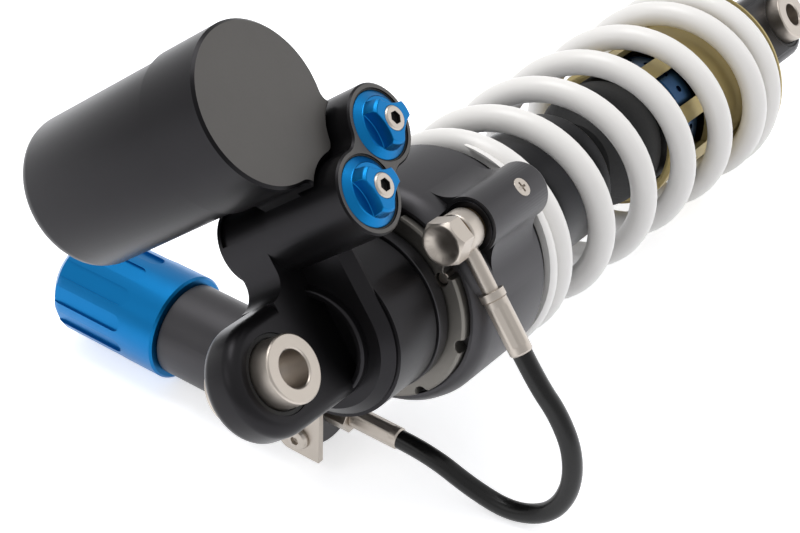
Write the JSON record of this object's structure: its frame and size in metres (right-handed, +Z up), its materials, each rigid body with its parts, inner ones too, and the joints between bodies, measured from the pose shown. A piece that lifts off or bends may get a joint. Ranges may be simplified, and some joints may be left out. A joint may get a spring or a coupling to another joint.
{
  "type": "motorcycle shock absorber",
  "caption": "Rear shock absorber with coil spring, side reservoir, compression adjusters and a remote hydraulic preload knob on a short hose.",
  "frame": {"origin": "centre of the upper eye's bush bore", "axes": "+Z up with the shock lying on its side; +X along its length towards the lower eye, which dips 7 degrees; +Y away from the compression knobs"},
  "size_m": [0.4136, 0.2152, 0.1763],
  "materials": {
    "black_anodised": "satin",
    "grey_anodised": "satin",
    "gold_anodised": "satin",
    "blue_anodised": "gloss",
    "dark_blue_anodised": "gloss",
    "plain_aluminium": "satin",
    "white_powder_coat": "gloss",
    "stainless_steel": "satin",
    "hard_chrome": "polished",
    "copper": "satin",
    "black_rubber": "matte",
    "bump_foam": "matte",
    "black_plastic": "matte",
    "bronze_lining": "satin"
  },
  "bodies": {
    "head": {"head_body": "black_anodised", "upper_bearing": "black_plastic", "upper_seals": "black_rubber", "knob_seals": "black_rubber", "reservoir_tube": "black_anodised", "reservoir_end_cap": "black_anodised", "gas_valve": "stainless_steel", "gas_valve_cap": "black_plastic", "damper_tube": "grey_anodised", "seal_head": "black_anodised", "wiper_seal": "black_rubber", "circlip": "stainless_steel", "tube_collar": "black_anodised", "lock_ring": "plain_aluminium", "stop_pin": "stainless_steel", "preload_housing": "black_anodised", "bleed_screw": "stainless_steel", "banjo_bolt": "stainless_steel", "banjo_fitting": "stainless_steel", "sealing_washers": "copper", "port_spacer": "plain_aluminium", "upper_ferrule": "stainless_steel", "adjuster_body": "black_anodised", "port_fitting": "stainless_steel", "lower_ferrule": "stainless_steel", "bracket": "stainless_steel", "bracket_screw": "stainless_steel", "hose": "black_rubber"},
    "upper_bush": {"upper_bush": "stainless_steel"},
    "lower_bush": {"lower_bush": "stainless_steel"},
    "high_speed_knob": {"high_speed_knob": "blue_anodised", "high_speed_screw": "stainless_steel"},
    "low_speed_knob": {"low_speed_knob": "blue_anodised", "low_speed_screw": "stainless_steel"},
    "preload_knob": {"adjuster_knob": "blue_anodised", "adjuster_spindle": "stainless_steel"},
    "drive_piston": {"drive_piston": "plain_aluminium", "drive_piston_seal": "black_rubber"},
    "floating_piston": {"floating_piston": "plain_aluminium", "floating_piston_seal": "black_rubber"},
    "preload_seat": {"preload_seat": "black_anodised", "preload_seal": "black_rubber", "spring": "white_powder_coat"},
    "shaft": {"shaft": "hard_chrome", "main_piston": "plain_aluminium", "piston_band": "bronze_lining", "piston_nut": "stainless_steel", "top_out_spacer": "black_rubber", "bump_stop": "bump_foam", "bump_plate": "black_plastic", "shaft_lock_nut": "stainless_steel", "spring_retainer": "gold_anodised", "lower_eye": "black_anodised", "lower_bearing": "black_plastic", "lower_seals": "black_rubber"},
    "rebound_wheel": {"rebound_wheel": "dark_blue_anodised"}
  },
  "joints": [
    {"name": "preload_knob_turn", "type": "hinge", "parent": "head", "child": "preload_knob", "pos_m": [0.0685, 0.0865, -0.0578], "axis": [-0.0593, -0.9975, -0.0376], "range_deg": [0, 2880]},
    {"name": "drive_piston_slide", "type": "slide", "parent": "head", "child": "drive_piston", "axis": [-0.0593, -0.9975, -0.0376], "range_m": [0, 0.02401]},
    {"name": "preload_seat_slide", "type": "slide", "parent": "head", "child": "preload_seat", "axis": [0.9921, 0, -0.1253], "range_m": [0, 0.0077]},
    {"name": "stroke_slide", "type": "slide", "parent": "preload_seat", "child": "shaft", "axis": [-0.9921, 0, 0.1253], "range_m": [0, 0.048], "stiffness_N_per_m": 80000, "deforming": ["spring", "bump_stop"]},
    {"name": "floating_piston_slide", "type": "slide", "parent": "head", "child": "floating_piston", "axis": [-0.0756, 0.7976, -0.5985], "range_m": [0, 0.00466]},
    {"name": "rebound_wheel_turn", "type": "hinge", "parent": "shaft", "child": "rebound_wheel", "pos_m": [0.24813, 0, -0.03135], "axis": [0.9921, 0, -0.1253], "range_deg": [-360, 360]},
    {"name": "high_speed_turn", "type": "hinge", "parent": "head", "child": "high_speed_knob", "pos_m": [0.05966, -0.00381, 0.06058], "axis": [0.0756, -0.7976, 0.5985], "range_deg": [-360, 360]},
    {"name": "low_speed_turn", "type": "hinge", "parent": "head", "child": "low_speed_knob", "pos_m": [0.03955, -0.01322, 0.05058], "axis": [0.0756, -0.7976, 0.5985], "range_deg": [-450, 450]},
    {"name": "upper_bush_turn", "type": "hinge", "parent": "head", "child": "upper_bush", "pos_m": [0, 0, 0], "axis": [0.0756, -0.7976, 0.5985], "continuous": true},
    {"name": "lower_bush_turn", "type": "hinge", "parent": "shaft", "child": "lower_bush", "pos_m": [0.378, 0, -0.04775], "axis": [0.0756, -0.7976, 0.5985], "continuous": true}
  ],
  "couplings": [
    {"joint": "preload_knob_turn", "follows": "preload_seat_slide", "rad_per_m": 6530.5},
    {"joint": "drive_piston_slide", "follows": "preload_seat_slide", "ratio": 3.1181},
    {"joint": "floating_piston_slide", "follows": "stroke_slide", "ratio": 0.09679}
  ]
}
